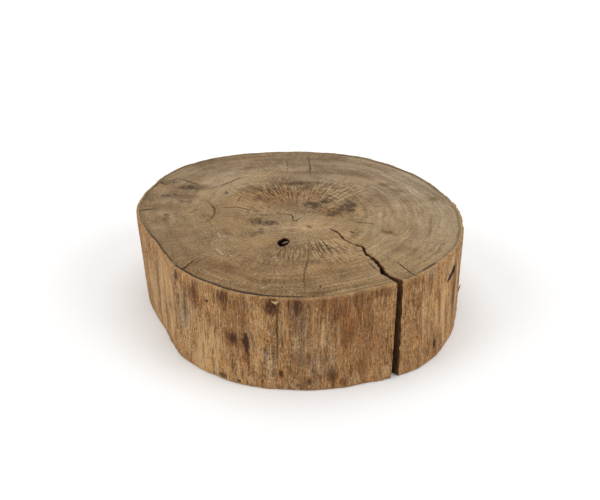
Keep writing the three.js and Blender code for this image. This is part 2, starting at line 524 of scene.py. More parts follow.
def grain(points, scale, seed=0.0):
    """Smooth noise from -1 to 1 at each point; scale is one factor or one for each axis."""
    places = np.asarray(points, float) * scale + seed
    return np.array([noise.noise(Vector(p)) for p in places])


def flat_grain(points, scale, seed=0.0):
    """Smooth noise from -1 to 1 at points in plan."""
    return grain(np.c_[points, np.zeros(len(points))], scale, seed)


def smooth(low, high, value):
    """0 on low's side, 1 on high's side, eased between."""
    share = np.clip((value - low) / (high - low), 0, 1)
    return share * share * (3 - 2 * share)


def round_gap(angle, bearing):
    """How far angles in radians lie past a bearing in degrees, in mm round the side."""
    return ((angle - math.radians(bearing) + math.pi) % (2 * math.pi) - math.pi) * MEAN_RADIUS


def along_line(points, step):
    """Rows step apart along a line of points, with its ends kept; further columns are carried along."""
    points = np.asarray(points, float)
    lengths = np.hypot(*np.diff(points[:, :2], axis=0).T)
    place = np.concatenate([[0], np.cumsum(lengths)])
    wanted = np.linspace(0, place[-1], max(2, round(place[-1] / step) + 1))
    return np.stack([np.interp(wanted, place, column) for column in points.T], axis=1)


def left_normals(line):
    """Unit vectors square to a line in plan, to its left."""
    ahead = np.gradient(line[:, :2], axis=0)
    ahead /= np.maximum(np.hypot(*ahead.T), 1e-9)[:, None]
    return np.stack([-ahead[:, 1], ahead[:, 0]], axis=1)


# Outline in plan

def crack_wall(side):
    """One torn wall of the crack in plan, from its tip to where it meets the rim. side is 1 or -1."""
    line = along_line(CRACK, CRACK_STEP)
    half = line[:, 2] / 2
    tear = 0.6 * flat_grain(line[:, :2], 0.3, 7 * side) + 0.5 * flat_grain(line[:, :2], 0.8, 3 * side)
    shared = 1.0 * flat_grain(line[:, :2], 0.14, 1) + 0.5 * flat_grain(line[:, :2], 0.35, 2)
    open_share = smooth(0, 20, np.arange(len(line)) * CRACK_STEP)
    offset = side * half + open_share * (shared + tear * np.minimum(0.8, half))
    wall = line[:, :2] + left_normals(line) * offset[:, None]
    angle = np.arctan2(wall[:, 1], wall[:, 0])
    within = np.hypot(*wall.T) < outside_radius(angle, THICKNESS) - 0.5 * CRACK_STEP
    return wall[: np.argmin(within)]


def plan_outline():
    """The slice's outline in plan, anticlockwise, with how far the crack's walls lean over at each point."""
    east, west = crack_wall(1), crack_wall(-1)
    start = math.atan2(east[-1, 1], east[-1, 0])
    stop = math.atan2(west[-1, 1], west[-1, 0]) + 2 * math.pi
    count = round((stop - start) * MEAN_RADIUS / RIM_STEP)
    bearings = np.linspace(start, stop, count)
    radii = outside_radius(bearings, THICKNESS)
    rim = np.stack([radii * np.cos(bearings), radii * np.sin(bearings)], axis=1)
    outline = np.concatenate([rim, west[::-1], east[1:]])
    on_crack = np.arange(len(outline)) >= count
    from_west = np.hypot(*(outline - west[-1]).T)
    lean = FOOT_GAPE["west"] * smooth(GAPE_REACH, 0, from_west)
    eastern = np.arange(len(outline)) >= count + len(west)
    eastern[: count // 2] = True
    from_east = np.hypot(*(outline[eastern] - east[-1]).T)
    lean[eastern] = FOOT_GAPE["east"] * smooth(GAPE_REACH, 0, from_east)
    return outline, on_crack, lean


# Surface of the side

def side_patches(name, angle, height):
    """Strength of one kind of patch on the side at each angle and height, from 0 to 1."""
    place = np.stack([MEAN_RADIUS * np.cos(angle), MEAN_RADIUS * np.sin(angle), height], axis=1)
    ragged = 0.5 * grain(place, (0.12, 0.12, 0.022), 13) + 0.5 * grain(place, (0.34, 0.34, 0.035), 29)
    found = np.zeros(len(angle))
    for bearing, middle, half_width, half_height, strength in SIDE_PATCHES[name]:
        reach = np.hypot(round_gap(angle, bearing) / half_width, (height - middle) / half_height)
        found = np.maximum(found, strength * smooth(1.4, 0.3, reach + ragged))
    return found


def slant_strength(angle, height):
    """The slanting black mark, from 0 to 1."""
    (low_bearing, low), (high_bearing, high) = SLANT["from"], SLANT["to"]
    ahead = np.array([math.radians(high_bearing - low_bearing) * MEAN_RADIUS, high - low])
    spot = np.stack([round_gap(angle, low_bearing), height - low], axis=1)
    share = np.clip(spot @ ahead / (ahead @ ahead), 0, 1)
    off = np.hypot(*(spot - share[:, None] * ahead).T)
    return smooth(1.2, 0.4, off / (SLANT["half"] * (0.4 + 0.6 * share)))


def side_relief(angle, height):
    """How far the worn outside stands out of the plain log at each angle and height."""
    place = np.stack([MEAN_RADIUS * np.cos(angle), MEAN_RADIUS * np.sin(angle), height], axis=1)
    lean = 2.5 * grain(place, 0.02, 31)
    fibre = place + np.stack([lean, lean, np.zeros(len(lean))], axis=1)
    relief = 0.6 * grain(fibre, (0.09, 0.09, 0.008), 5)
    relief += 0.4 * grain(fibre, (0.28, 0.28, 0.025), 17)
    relief += 0.2 * grain(fibre, (0.5, 0.5, 0.09), 3)
    for bearing, middle, half_width, half_height, depth in SUNK_KNOTS:
        reach = np.hypot(round_gap(angle, bearing) / half_width, (height - middle) / half_height)
        relief -= depth * smooth(1.15, 0.4, reach)
    relief -= 0.8 * slant_strength(angle, height)
    across = round_gap(angle, SCOOP["bearing"]) / (SCOOP["width"] / 2)
    up = (height - SCOOP["height"]) / (SCOOP["tall"] / 2)
    relief -= SCOOP["depth"] * smooth(1.05, 0.3, np.hypot(across, up))
    past_fold = round_gap(angle, FOLD["bearing"]) + 2 * np.sin(height / 23)
    relief -= FOLD["step"] * smooth(-FOLD["width"], 0, past_fold) * (past_fold < 0)
    shag = smooth(1, 0.3, np.abs(round_gap(angle, SHAGGY["bearing"])) / (SHAGGY["half"] * 3.5))
    relief += SHAGGY["height"] * shag * grain(place, (0.3, 0.3, 0.3), 41)
    return relief


def edge_rows():
    """Rows up the side: the height of each, and the share of the edge's rounding that it is drawn in by."""
    turn = np.linspace(0, math.pi / 2, ROUND_ROWS + 1)
    lower = [(EDGE_ROUND * (1 - math.cos(t)), 1 - math.sin(t)) for t in turn]
    rise = np.linspace(EDGE_ROUND, THICKNESS - EDGE_ROUND, SIDE_ROWS + 1)[1:-1]
    upper = [(THICKNESS - height, share) for height, share in reversed(lower)]
    return np.array(lower + [(height, 0.0) for height in rise] + upper)


def side_surface():
    """Points of every row up the side, rows by outline points by 3, and which points are on the crack."""
    outline, on_crack, lean = plan_outline()
    angle = np.arctan2(outline[:, 1], outline[:, 0])
    top_radius = outside_radius(angle, THICKNESS)
    closed = np.concatenate([outline[-1:], outline, outline[:1]])
    out = -left_normals(closed)[1:-1]
    wear = 1 + 0.5 * flat_grain(outline, 0.05, 11) + 0.6 * flat_grain(outline, 0.17, 23)
    rounding = np.where(on_crack, LIP_ROUND, EDGE_ROUND) * np.maximum(wear, 0.3)
    corners = outline[~on_crack][[0, -1]]
    from_mouth = np.min([np.hypot(*(outline - corner).T) for corner in corners], axis=0)
    chip = MOUTH_CHIP * np.where(on_crack, 0, smooth(MOUTH_REACH, 0, from_mouth))
    across = np.stack([-out[:, 1], out[:, 0]], axis=1)
    rows = []
    for height, inset in edge_rows():
        grow = outside_radius(angle, height) / top_radius
        level = np.full(len(outline), height)
        tear = 0.9 * grain(np.c_[outline, level], (0.15, 0.15, 0.08), 9)
        tear += 0.9 * grain(np.c_[outline, level], (0.5, 0.5, 0.3), 2)
        off = np.where(on_crack, tear, side_relief(angle, level)) - inset * rounding
        gape = ((1 - height / THICKNESS) * lean)[:, None] * GAPE_DIRECTION
        chipped = across * (chip * grain(np.c_[outline, level], (0.02, 0.02, 0.22), 37))[:, None]
        spot = outline * grow[:, None] + out * off[:, None] + gape + chipped
        rows.append(np.c_[spot, level])
    return np.array(rows), on_crack


# Surface of the top cut

def mark_points(marks, seed):
    """Points along thin marks, four abreast: x, y and strength, which is 0 on the outer two."""
    found = []
    for line, width, strength in marks:
        path = along_line(line, MARK_STEP)
        sway = np.stack([flat_grain(path, 0.35, seed), flat_grain(path, 0.35, seed + 5)], axis=1)
        path = path + 0.9 * sway
        out = left_normals(path)
        taper = np.sqrt(np.sin(np.linspace(0.05, math.pi - 0.05, len(path))))
        broken = 0.75 + 0.35 * flat_grain(path, 0.12, seed + 9)
        for side, middle in ((-0.5, 0), (-0.2, 1), (0.2, 1), (0.5, 0)):
            spot = path + out * (side * width * taper)[:, None]
            found.append(np.c_[spot, middle * strength * np.clip(broken * taper, 0, 1)])
    return np.concatenate(found)


def turned(points, x, y, turn):
    """Points in plan about a middle, along and across a direction turned by degrees."""
    angle = math.radians(turn)
    dx, dy = points[:, 0] - x, points[:, 1] - y
    return dx * math.cos(angle) + dy * math.sin(angle), dy * math.cos(angle) - dx * math.sin(angle)


def knot_reach(points):
    """Distance from the middle of the rotten knot, as a share of its half axes."""
    across, along = turned(points, KNOT["x"], KNOT["y"], KNOT["turn"])
    return np.hypot(across / (KNOT["across"] / 2), along / (KNOT["along"] / 2))


def knot_points():
    """Close-set points over the rotten knot, so that its pit has clean walls."""
    reach = np.arange(-KNOT_SPAN, KNOT_SPAN, KNOT_STEP)
    grid = np.stack(np.meshgrid(reach, reach), axis=-1).reshape(-1, 2) + (KNOT["x"], KNOT["y"])
    return grid[knot_reach(grid) < 1.35]


def pit_share(points):
    """Depth of the rotten knot's pit as a share of its deepest, with a sliver of sound wood left in it."""
    ragged = 0.16 * flat_grain(points, 0.3, 4)
    pit = smooth(1.0, 0.8, knot_reach(points) + ragged)
    along, across = turned(points, SLIVER["x"], SLIVER["y"], SLIVER["turn"])
    sliver = smooth(1.0, 0.55, np.hypot(along / SLIVER["half_length"], across / SLIVER["half_width"]))
    return pit * (1 - 0.99 * sliver)


def top_patches(name, points):
    """Strength of one kind of patch on the top cut at each point, from 0 to 1."""
    ragged = 0.5 * flat_grain(points, 0.11, 8) + 0.4 * flat_grain(points, 0.3, 2)
    found = np.zeros(len(points))
    for x, y, half_length, half_width, turn, strength in TOP_PATCHES[name]:
        along, across = turned(points, x, y, turn)
        reach = np.hypot(along / half_length, across / half_width)
        found = np.maximum(found, strength * smooth(1.5, 0.2, reach + ragged))
    return found


# Filling a cut with triangles

def inside(points, outline):
    """Which points lie inside a closed outline."""
    x, y = points.T
    found = np.zeros(len(points), bool)
    for (ax, ay), (bx, by) in zip(outline, np.roll(outline, -1, axis=0)):
        if by != ay:
            found ^= ((ay > y) != (by > y)) & (x < ax + (y - ay) * (bx - ax) / (by - ay))
    return found


def clear_of(points, others, gap):
    """The points that lie further than gap from all the others."""
    tree = KDTree(len(others))
    for i, (x, y) in enumerate(others):
        tree.insert((x, y, 0), i)
    tree.balance()
    keep = [tree.find((x, y, 0))[2] > gap for x, y in points]
    return points[np.array(keep, bool)]


def lattice(step):
    """A triangular lattice of points over the slice's plan."""
    reach = max(TOP_RADII) + step
    rise = step * math.sqrt(3)
    columns, rows = np.meshgrid(np.arange(-reach, reach, step), np.arange(-reach, reach, rise))
    even = np.stack([columns, rows], axis=-1).reshape(-1, 2)
    return np.concatenate([even, even + (step / 2, rise / 2)])


def fill_cut(edge, extra, step):
    """Points and triangles of a cut: its edge first, then extra points, then a lattice between them."""
    fixed = np.concatenate([edge, extra])
    filling = lattice(step)
    filling = clear_of(filling[inside(filling, edge)], fixed, 0.6 * step)
    points = np.concatenate([fixed, filling])
    count = len(edge)
    ring = [(i, (i + 1) % count) for i in range(count)]
    made = delaunay_2d_cdt([Vector(p) for p in points], ring, [], 1, 1e-6)
    first = [origins[0] for origins in made[3]]
    return points, [tuple(first[i] for i in face) for face in made[2]]


# Slivers of wood that stand off the side

def cone(foot, tip, root, sides=7):
    """A slim spike between two points: its points and faces."""
    axis = Vector(tip) - Vector(foot)
    turn = axis.to_track_quat("Z", "Y")
    ring = [Vector(foot) + turn @ Vector((root * math.cos(t), root * math.sin(t), 0))
            for t in np.linspace(0, 2 * math.pi, sides, endpoint=False)]
    points = np.array([*map(tuple, ring), tuple(tip)])
    faces = [(i, (i + 1) % sides, sides) for i in range(sides)]
    return points, [*faces, tuple(reversed(range(sides)))]


def on_side(bearing, height, out=0.0):
    """A point on the outside of the log, or out from it."""
    angle = math.radians(bearing)
    radius = float(outside_radius(np.array([angle]), height)[0]) + out
    return np.array([radius * math.cos(angle), radius * math.sin(angle), height])


def splinter():
    """The splinter on the right-hand side, leaning up out of the wood."""
    lean = math.radians(SPLINTER["lean"])
    foot = on_side(SPLINTER["bearing"], SPLINTER["height"], SPLINTER["root"] - SPLINTER["sunk"])
    rise, out = SPLINTER["length"] * math.cos(lean), SPLINTER["length"] * math.sin(lean)
    return cone(foot, on_side(SPLINTER["bearing"], SPLINTER["height"] + rise, out - 1), SPLINTER["root"])


def flake():
    """The lifted flake of wood in the scoop under the front rim: a thin tongue with a thickness."""
    bearing, height, thick = FLAKE["bearing"], FLAKE["height"], FLAKE["thick"]
    front = [on_side(bearing + across, height + up, out) for across, up, out in FLAKE_CORNERS]
    back = [on_side(bearing + across, height + up, out - thick) for across, up, out in FLAKE_CORNERS]
    count = len(FLAKE_CORNERS)
    sides = [(i, i + count, (i + 1) % count + count, (i + 1) % count) for i in range(count)]
    return np.array(front + back), [tuple(reversed(range(count))), tuple(range(count, 2 * count)), *sides]


# The mesh

END_GRAIN, LONG_GRAIN, SPLIT_WOOD = range(3)


class Build:
    """Points and faces gathered for one mesh, with a material for each face."""

    def __init__(self):
        self.points = np.zeros((0, 3))
        self.faces = []
        self.materials = []

    def add(self, points, faces, materials):
        """Adds points, and faces that count from the first of them."""
        start = len(self.points)
        self.points = np.concatenate([self.points, points])
        self.faces += [tuple(start + i for i in face) for face in faces]
        self.materials += list(materials)
        return start

    def add_cut(self, row_start, count, inner, faces):
        """Adds a cut whose first count points are a row that is already there."""
        start = len(self.points)
        self.points = np.concatenate([self.points, inner])
        shift = start - count
        self.faces += [tuple(i + (row_start if i < count else shift) for i in face) for face in faces]
        self.materials += [END_GRAIN] * len(faces)
        return start


def build_slice():
    """The whole slice as one object: side, top cut, foot, splinter and flake, with its fields."""
    rows, on_crack = side_surface()
    count, row_count = len(on_crack), len(rows)
    build = Build()
    quads = [
        (r * count + i, r * count + (i + 1) % count, (r + 1) * count + (i + 1) % count, (r + 1) * count + i)
        for r in range(row_count - 1)
        for i in range(count)
    ]
    wall = on_crack | np.roll(on_crack, -1)
    build.add(rows.reshape(-1, 3), quads, np.tile(np.where(wall, SPLIT_WOOD, LONG_GRAIN), row_count - 1))

    edge = rows[-1][:, :2]
    kinds = {"check": CHECKS, "line": BROWN_LINES, "scratch": PALE_LINES}
    marks = {name: mark_points(lines, seed) for seed, (name, lines) in enumerate(kinds.items())}
    marks = {name: found[inside(found[:, :2], edge * MARK_REACH)] for name, found in marks.items()}
    extra = np.concatenate([found[:, :2] for found in marks.values()] + [knot_points()])
    points, faces = fill_cut(edge, extra, TOP_STEP)
    top = points[count:]
    height = THICKNESS + 0.12 * flat_grain(top, 0.05, 6) - KNOT["depth"] * pit_share(top)
    height[: len(marks["check"])] -= CHECK_DEPTH * marks["check"][:, 2]
    top_start = build.add_cut((row_count - 1) * count, count, np.c_[top, height], faces)

    points, faces = fill_cut(rows[0][:, :2], np.zeros((0, 2)), FOOT_STEP)
    foot = np.c_[points[count:], np.zeros(len(points) - count)]
    build.add_cut(0, count, foot, [tuple(reversed(face)) for face in faces])
    for sliver in (splinter, flake):
        sliver_points, sliver_faces = sliver()
        flake_start = build.add(sliver_points, sliver_faces, [LONG_GRAIN] * len(sliver_faces))

    piece = write_mesh(build)
    fields = surface_fields(build.points)
    fields["flake"][flake_start:] = 1
    for name, found in marks.items():
        fields[name] = np.zeros(len(build.points))
        fields[name][top_start : top_start + len(found)] = found[:, 2]
        top_start += len(found)
    for name, values in fields.items():
        layer = piece.data.attributes.new(name, "FLOAT", "POINT")
        layer.data.foreach_set("value", values.astype(np.float32))
    return piece


def surface_fields(points):
    """What the materials read at each point, from 0 to 1."""
    plan, height = points[:, :2], points[:, 2]
    angle = np.arctan2(plan[:, 1], plan[:, 0])
    on_top = height > THICKNESS / 2
    fields = {name: side_patches(name, angle, height) for name in SIDE_PATCHES}
    fields["slant"] = slant_strength(angle, height)
    for name in TOP_PATCHES:
        fields[name] = top_patches(name, plan) * on_top
    fields["rim_share"] = np.hypot(*plan.T) / outside_radius(angle, height)
    fields["pit"] = pit_share(plan) * on_top
    rim_depth = outside_radius(angle, height) - np.hypot(*plan.T)
    depth = np.minimum(rim_depth, THICKNESS - height)
    # Painted shade inside the crack: 0 at the rim and the top cut, rising to 1 deeper in, for the crack's
    # material to darken its walls by.
    fields["deep"] = 0.7 * smooth(0, 2, depth) + 0.3 * smooth(4, 18, depth)
    fields["flake"] = np.zeros(len(points))
    fields["edge"] = smooth(2.6, 0.8, np.minimum(height, THICKNESS - height))
    return fields


def write_mesh(build):
    """The gathered points and faces as an object, in metres and in the frame."""
    mesh = bpy.data.meshes.new("wood_slice_grown")
    mesh.from_pydata((build.points + (*log_shift(), 0)) * MM, [], build.faces)
    mesh.polygons.foreach_set("material_index", np.array(build.materials, np.int32))
    mesh.polygons.foreach_set("use_smooth", np.ones(len(build.faces), bool))
    mesh.update()
    mesh.set_sharp_from_angle(angle=math.radians(SHARP_ANGLE))
    piece = bpy.data.objects.new("wood_slice_grown", mesh)
    bpy.context.scene.collection.objects.link(piece)
    return piece


# Materials

def srgb(red, green, blue):
    """A colour given as it looks on screen, 0 to 255, as the shader takes it."""
    def linear(value):
        value /= 255
        return value / 12.92 if value <= 0.04045 else ((value + 0.055) / 1.055) ** 2.4
    return (linear(red), linear(green), linear(blue), 1)


class Graph:
    """Short calls for the nodes of one material. Every call but the last returns an output socket."""

    def __init__(self, name, roughness):
        self.material = bpy.data.materials.new(name)
        self.material.use_nodes = True
        self.tree = self.material.node_tree
        self.shader = self.tree.nodes["Principled BSDF"]
        self.shader.inputs["Roughness"].default_value = roughness
        self.shader.inputs["Specular IOR Level"].default_value = 0.2

    def node(self, kind, inputs, **settings):
        made = self.tree.nodes.new("ShaderNode" + kind)
        for name, value in settings.items():
            setattr(made, name, value)
        for name, value in inputs.items():
            if isinstance(value, bpy.types.NodeSocket):
                self.tree.links.new(value, made.inputs[name])
            else:
                made.inputs[name].default_value = value
        return made

    def place(self, across, up):
        """The point on the object in millimetres, times a scale in plan and a scale in height."""
        spot = self.node("TexCoord", {}).outputs["Object"]
        scale = [across / MM, across / MM, up / MM]
        return self.vector("MULTIPLY", spot, scale)

    def vector(self, operation, a, b=(0, 0, 0)):
        return self.node("VectorMath", {0: a, 1: b}, operation=operation).outputs[0]

    def field(self, name):
        return self.node("Attribute", {}, attribute_name=name).outputs["Fac"]

    def math(self, operation, a, b):
        return self.node("Math", {0: a, 1: b}, operation=operation).outputs[0]

    def times(self, a, b):
        return self.math("MULTIPLY", a, b)

    def total(self, *parts):
        """Sum of sockets, each times its weight."""
        found = None
        for socket, weight in parts:
            part = self.times(socket, weight)
            found = self.math("ADD", found, part) if found else part
        return found

    def noise(self, vector, detail=3.0, rough=0.6, distort=0.0):
        inputs = {"Vector": vector, "Scale": 1.0, "Detail": detail, "Roughness": rough, "Distortion": distort}
        return self.node("TexNoise", inputs).outputs["Fac"]

    def spread(self, value, low, high):
        """0 on low's side, 1 on high's side, eased between."""
        inputs = {"Value": value, "From Min": low, "From Max": high}
        return self.node("MapRange", inputs, interpolation_type="SMOOTHSTEP").outputs["Result"]

    def torn(self, field, low, high, *breaks):
        """A field's patch with its edge and its inside broken up by noises, each times its weight."""
        pushed = field
        for value, weight in breaks:
            swing = self.math("SUBTRACT", value, 0.5)
            pushed = self.math("ADD", pushed, self.times(swing, weight))
        return self.times(self.spread(pushed, low, high), self.spread(field, 0.02, 0.25))

    def ramp(self, value, *stops):
        made = self.node("ValToRGB", {"Fac": value})
        while len(made.color_ramp.elements) < len(stops):
            made.color_ramp.elements.new(0.5)
        for element, (place, colour) in zip(made.color_ramp.elements, stops):
            element.position = place
            element.color = colour
        return made.outputs["Color"]

    def mix(self, share, a, b, blend="MIX"):
        inputs = {"Factor": share, 6: a, 7: b}
        return self.node("Mix", inputs, data_type="RGBA", blend_type=blend).outputs[2]

    def over(self, colour, share, weight, paint):
        """The colour with a paint laid over it, by a share times a weight."""
        return self.mix(self.times(share, weight), colour, paint)

    def finish(self, colour, height, depth):
        """Links the colour and a bump depth millimetres high, and gives the material."""
        bump = self.node("Bump", {"Height": height, "Strength": 1.0, "Distance": depth * MM})
        self.tree.links.new(colour, self.shader.inputs["Base Color"])
        self.tree.links.new(bump.outputs["Normal"], self.shader.inputs["Normal"])
        return self.material


def end_grain():
    """The sawn faces: faint growth rings, rays round the pith, dirt, brown stains and fine pores."""
    g = Graph("end_grain", 0.85)
    pith = (*(PITH + log_shift()), 0)
    flat = g.vector("SUBTRACT", g.place(1, 0), pith)
    toward = g.vector("NORMALIZE", flat)
    east, north, _ = g.node("SeparateXYZ", {0: flat}).outputs
    share = g.field("rim_share")

    cloud = g.noise(g.place(0.014, 0), detail=3)
    mottle = g.noise(g.place(0.07, 0), detail=4, rough=0.65, distort=0.3)
    pores = g.noise(g.place(0.45, 0.45), detail=4, rough=0.8)
    drift = g.total((cloud, 0.12), (mottle, 0.012))

    def ring_noise(round_scale, out_scale, detail):
        """Noise drawn out round the pith: out_scale sets how many rings there are from pith to rim."""
        turn = g.vector("MULTIPLY", toward, (round_scale, round_scale, 0))
        out = g.times(g.math("ADD", share, drift), out_scale)
        rise = g.node("CombineXYZ", {2: out}).outputs[0]
        return g.noise(g.vector("ADD", turn, rise), detail=detail, rough=0.65)

    rings = ring_noise(3.0, 56.0, 3)
    years = ring_noise(1.3, 24.0, 2)
    ring_lines = g.spread(g.math("ABSOLUTE", g.math("SUBTRACT", years, 0.5), 0.0), 0.035, 0.0)
    fan = g.vector("ADD", g.vector("MULTIPLY", toward, (34, 34, 34)), g.place(0.05, 0))
    rays = g.noise(fan, detail=1.5, rough=0.7)

    ringed = g.math("MAXIMUM", g.spread(east, -60, 110), g.times(g.spread(north, 20, 150), 0.6))
    ringed = g.math("MAXIMUM", ringed, g.times(g.spread(north, -90, -160), 0.8))
    ring_part = g.math("SUBTRACT", g.total((rings, 0.55), (years, 0.45)), 0.5)
    ring_part = g.times(ring_part, g.total((ringed, 0.6), (cloud, 0.8)))
    rough_part = g.times(g.math("SUBTRACT", pores, 0.5), g.spread(north, 20, -120))
    tone = g.total(
        (cloud, 0.28),
        (mottle, 0.18),
        (ring_part, 0.5),
        (pores, 0.46),
        (rays, 0.1),
        (rough_part, 0.25),
    )
    tone = g.math("SUBTRACT", tone, 0.02)
    colour = g.ramp(
        tone,
        (0.36, srgb(80, 61, 40)),
        (0.44, srgb(117, 94, 66)),
        (0.49, srgb(139, 115, 85)),
        (0.56, srgb(160, 137, 105)),
        (0.66, srgb(188, 166, 134)),
    )
    specks = g.noise(g.place(0.55, 0.55), detail=3, rough=0.7)
    colour = g.over(colour, g.spread(specks, 0.38, 0.3), 0.45, srgb(74, 54, 35))
    colour = g.over(colour, g.spread(specks, 0.63, 0.72), 0.35, srgb(198, 178, 146))
    ring_lines = g.times(ring_lines, g.times(ringed, g.spread(mottle, 0.35, 0.6)))
    colour = g.over(colour, ring_lines, 0.4, srgb(104, 80, 54))
    bands = g.math("ADD", share, g.total((cloud, 0.1), (mottle, 0.05)))
    band_tint = g.ramp(
        bands,
        (0.35, (1, 1, 1, 1)),
        (0.53, (0.8, 0.78, 0.74, 1)),
        (0.6, (0.96, 0.96, 0.96, 1)),
        (0.78, (1, 1, 1, 1)),
        (0.98, (0.95, 0.95, 0.95, 1)),
        (1.0, (0.86, 0.85, 0.82, 1)),
    )
    colour = g.mix(1.0, colour, band_tint, "MULTIPLY")
    washes = [
        (north, -20, -150, (1.0, 0.93, 0.83, 1)),
        (north, 10, 100, (0.965, 1.0, 1.085, 1)),
        (north, 140, 195, (1.03, 1.0, 0.94, 1)),
        (east, 30, 160, (1.18, 1.21, 1.25, 1)),
        (g.math("ADD", east, north), 110, 250, (0.96, 1.0, 1.08, 1)),
        (east, 130, 190, (1.02, 1.07, 1.15, 1)),
    ]
    for way, low, high, wash in washes:
        colour = g.mix(g.spread(way, low, high), colour, wash, "MULTIPLY")
    colour = g.over(colour, g.spread(east, 30, 110), 0.25, srgb(152, 129, 98))
    warmth = g.noise(g.place(0.11, 0), detail=4, rough=0.75)
    colour = g.mix(g.spread(warmth, 0.5, 0.66), colour, (1.05, 0.98, 0.89, 1), "MULTIPLY")
    colour = g.mix(g.spread(warmth, 0.5, 0.34), colour, (0.96, 1.0, 1.06, 1), "MULTIPLY")

    wear = g.times(g.field("wear"), g.spread(pores, 0.25, 0.6))
    colour = g.over(colour, wear, 0.6, srgb(190, 155, 108))
    bleach = g.times(g.field("bleach"), g.spread(pores, 0.25, 0.6))
    colour = g.over(colour, bleach, 0.5, srgb(186, 166, 134))
    ray_zone = g.field("rays")
    crossed = g.total((rays, 0.65), (rings, 0.3), (pores, 0.2))
    ray_tint = g.ramp(
        crossed,
        (0.51, srgb(66, 46, 28)),
        (0.57, srgb(130, 103, 70)),
        (0.635, srgb(186, 157, 115)),
    )
    colour = g.over(colour, ray_zone, 0.7, ray_tint)
    brown = g.torn(g.field("brown"), 0.05, 1.0, (mottle, 1.4), (pores, 1.4), (rings, 1.0))
    colour = g.mix(brown, colour, (0.66, 0.6, 0.54, 1), "MULTIPLY")
    rust = g.torn(g.field("rust"), 0.1, 0.9, (mottle, 1.4), (rays, 2.0), (pores, 1.0))
    colour = g.mix(rust, colour, (1.05, 0.965, 0.88, 1), "MULTIPLY")
    ragged = g.noise(g.place(0.16, 0), detail=4, rough=0.75)
    dirt = g.torn(g.field("dirt"), 0.48, 0.68, (ragged, 3.4), (pores, 3.0), (rays, 3.4))
    dirt = g.times(dirt, g.total((pores, 0.9), (rays, 0.65)))
    colour = g.mix(dirt, colour, srgb(58, 42, 33))
    line = g.times(g.spread(g.field("line"), 0.0, 0.75), g.spread(pores, 0.95, 0.4))
    colour = g.over(colour, line, 0.9, srgb(80, 55, 35))
    colour = g.over(colour, g.field("scratch"), g.spread(pores, 0.3, 0.6), srgb(204, 188, 158))

    worn = g.spread(share, 0.982, 0.987)
    rim_line = g.math("SUBTRACT", g.spread(share, 0.963, 0.972), worn)
    smeared = g.times(g.field("rim_dark"), g.spread(mottle, 0.25, 0.45))
    rim_line = g.times(rim_line, smeared)
    colour = g.mix(rim_line, colour, srgb(54, 43, 33))
    colour = g.over(colour, worn, g.spread(mottle, 0.3, 0.62), srgb(172, 138, 96))
    colour = g.mix(g.spread(g.field("check"), 0.05, 0.7), colour, srgb(44, 32, 22))
    pit = g.field("pit")
    colour = g.mix(g.spread(pit, 0.0, 0.04), colour, srgb(112, 70, 50))
    colour = g.mix(g.spread(pit, 0.04, 0.14), colour, srgb(14, 10, 8))

    height = g.total((pores, 0.5), (rings, 0.2), (mottle, 0.2), (g.times(rays, ray_zone), 0.9))
    return g.finish(colour, height, 0.6)


